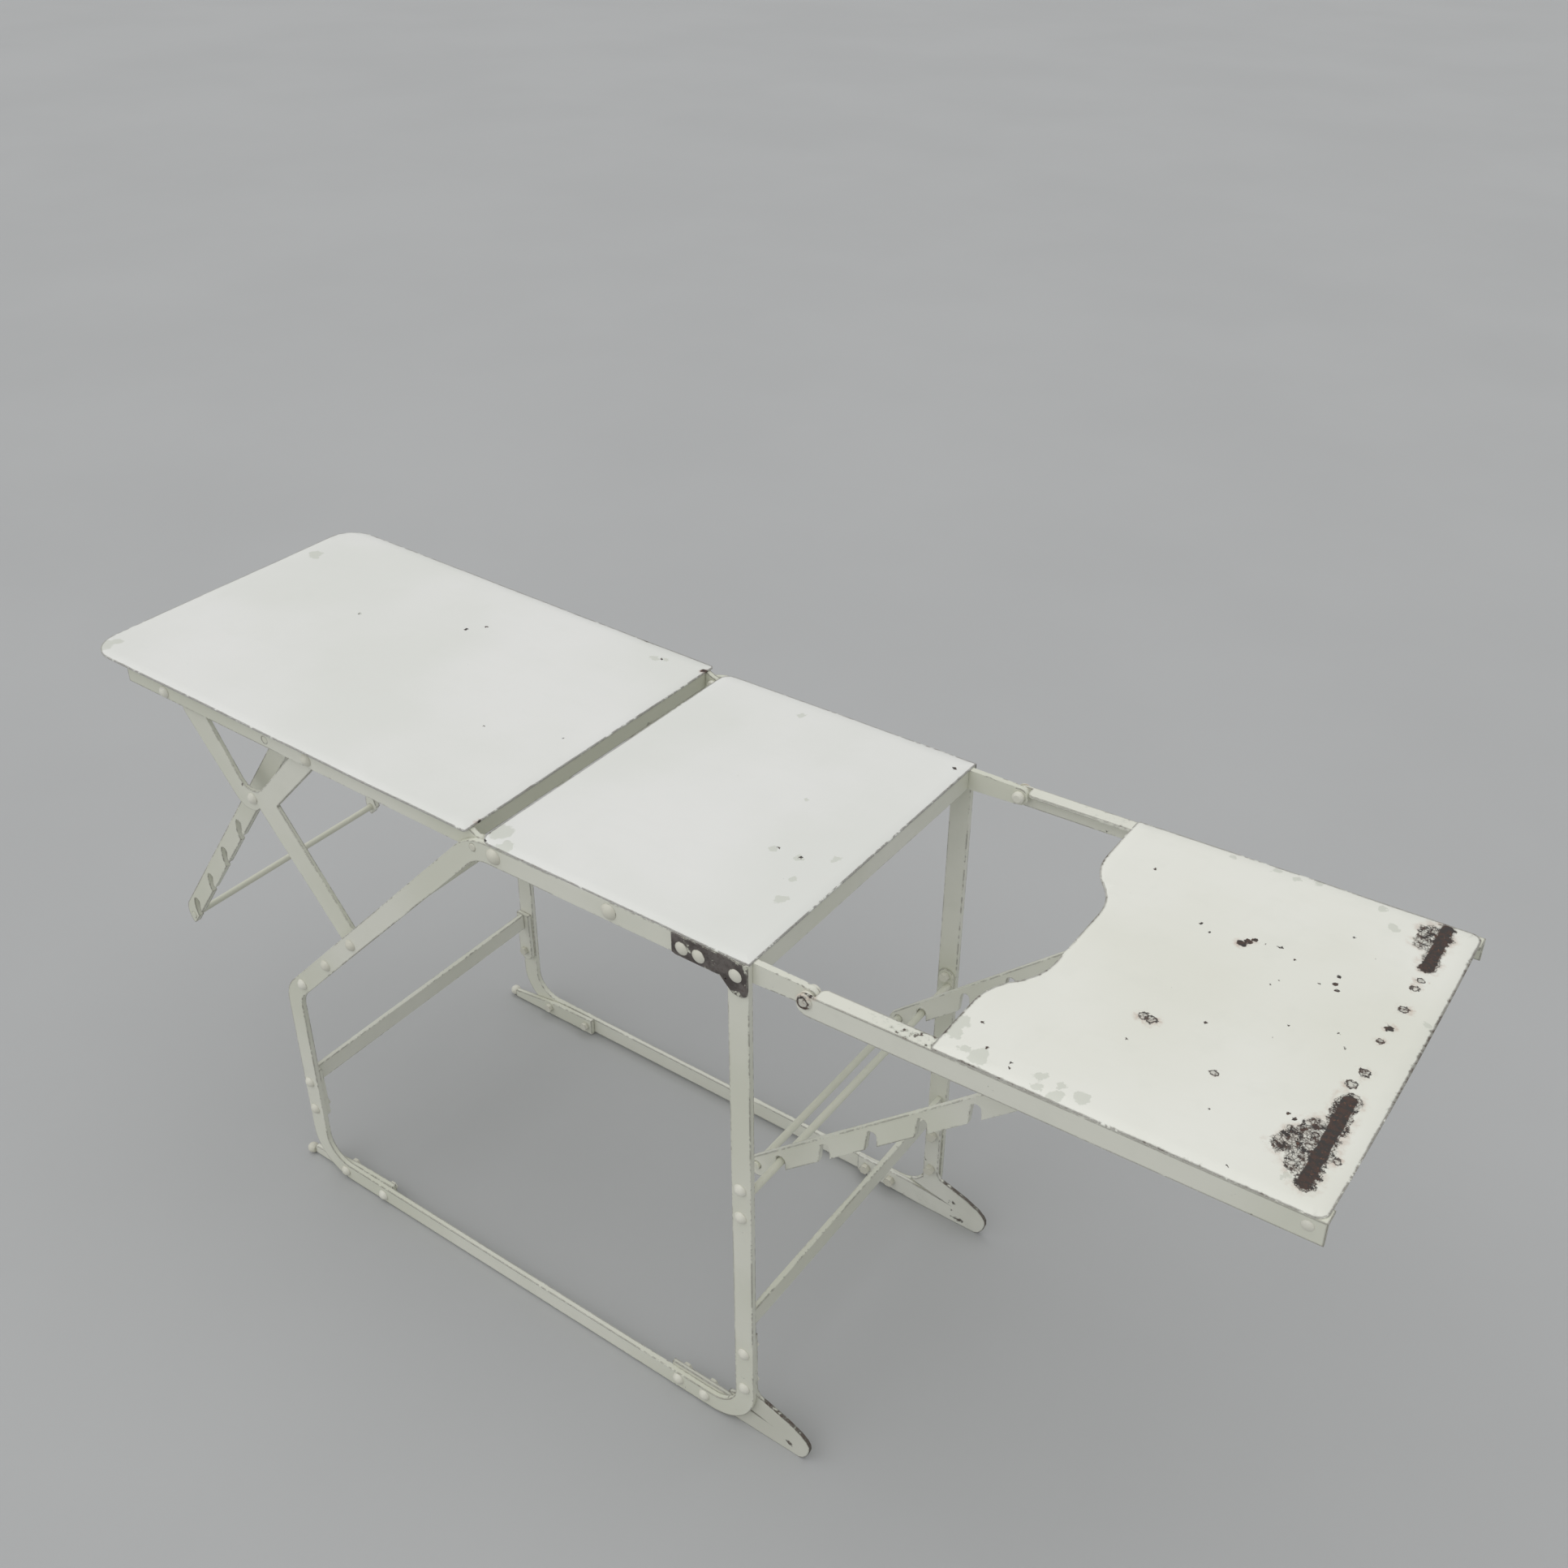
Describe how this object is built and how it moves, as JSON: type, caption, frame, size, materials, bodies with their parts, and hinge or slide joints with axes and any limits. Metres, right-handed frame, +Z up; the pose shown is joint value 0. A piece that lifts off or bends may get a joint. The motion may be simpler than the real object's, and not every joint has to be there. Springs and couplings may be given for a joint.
{
  "type": "medical examination table",
  "caption": "Vintage white flat-steel examination table with two side hoops, a hinged backrest, a drop leg section with a cut-out and slotted support racks.",
  "frame": {"origin": "on the floor, under the middle of the whole table's bounding box", "axes": "+X from the head end towards the leg end, +Y towards the patient's left side, +Z up"},
  "size_m": [1.7429, 0.492, 0.8208],
  "materials": {
    "sheet_paint": "satin",
    "frame_paint": "satin",
    "rod_paint": "satin",
    "fixing_steel": "worn",
    "bare_plate": "worn",
    "worn_foot": "worn"
  },
  "bodies": {
    "frame": {"side_frame_right": "frame_paint", "side_frame_left": "frame_paint", "corner_plate_right": "bare_plate", "corner_plate_left": "bare_plate", "seat_rail_right": "frame_paint", "seat_rail_left": "frame_paint", "seat_panel": "sheet_paint", "seat_front_bar": "frame_paint", "seat_rear_bar": "frame_paint", "front_foot_right": "worn_foot", "front_foot_left": "worn_foot", "heel_bar_right": "frame_paint", "heel_bar_left": "frame_paint", "heel_buttons": "fixing_steel", "front_stretcher": "frame_paint", "rear_stretcher": "frame_paint", "rear_stretcher_tabs": "frame_paint", "catch_rod": "rod_paint", "catch_rod_plates": "frame_paint", "backrest_rest_rod": "rod_paint", "rail_bolts": "fixing_steel", "diagonal_bolts": "fixing_steel", "corner_bolts": "fixing_steel", "rear_leg_bolts": "fixing_steel", "heel_bolts": "fixing_steel", "foot_bolts": "fixing_steel", "catch_plate_bolts": "fixing_steel", "frame_nuts": "fixing_steel", "backrest_hinge_pins": "fixing_steel"},
    "backrest": {"backrest_panel": "sheet_paint", "backrest_rail_right": "frame_paint", "backrest_rail_left": "frame_paint", "backrest_hinge_bar": "frame_paint", "backrest_head_bar": "frame_paint", "prop_bracket_right": "frame_paint", "prop_bracket_left": "frame_paint", "backrest_rack_shaft": "rod_paint", "prop_bolts": "fixing_steel", "prop_nuts": "fixing_steel"},
    "backrest_rack": {"backrest_rack_right": "frame_paint", "backrest_rack_left": "frame_paint", "backrest_rack_rod": "rod_paint"},
    "leg_section": {"leg_panel": "sheet_paint", "leg_angle_right": "frame_paint", "leg_angle_left": "frame_paint", "leg_end_bar": "frame_paint", "leg_rack_shaft": "rod_paint", "leg_hinge_bolts": "fixing_steel", "leg_angle_bolts": "fixing_steel"},
    "leg_rack": {"leg_rack_right": "frame_paint", "leg_rack_left": "frame_paint", "leg_rack_rod": "rod_paint"}
  },
  "joints": [
    {"name": "backrest_hinge", "type": "hinge", "parent": "frame", "child": "backrest", "pos_m": [-0.1483, 0, 0.785], "axis": [0, 1, 0], "range_deg": [0, 44.16]},
    {"name": "backrest_rack_pivot", "type": "hinge", "parent": "backrest", "child": "backrest_rack", "pos_m": [-0.5215, 0, 0.7934], "axis": [0, 1, 0], "range_deg": [-81, 1]},
    {"name": "leg_section_hinge", "type": "hinge", "parent": "frame", "child": "leg_section", "pos_m": [0.3227, 0, 0.786], "axis": [0, 1, 0], "range_deg": [0, 74]},
    {"name": "leg_rack_pivot", "type": "hinge", "parent": "leg_section", "child": "leg_rack", "pos_m": [0.6229, 0, 0.7902], "axis": [0, 1, 0], "range_deg": [-19, 0.5]}
  ],
  "couplings": [
    {"joint": "backrest_rack_pivot", "follows": "backrest_hinge", "ratio": -1.8272},
    {"joint": "leg_rack_pivot", "follows": "leg_section_hinge", "ratio": -0.25}
  ]
}
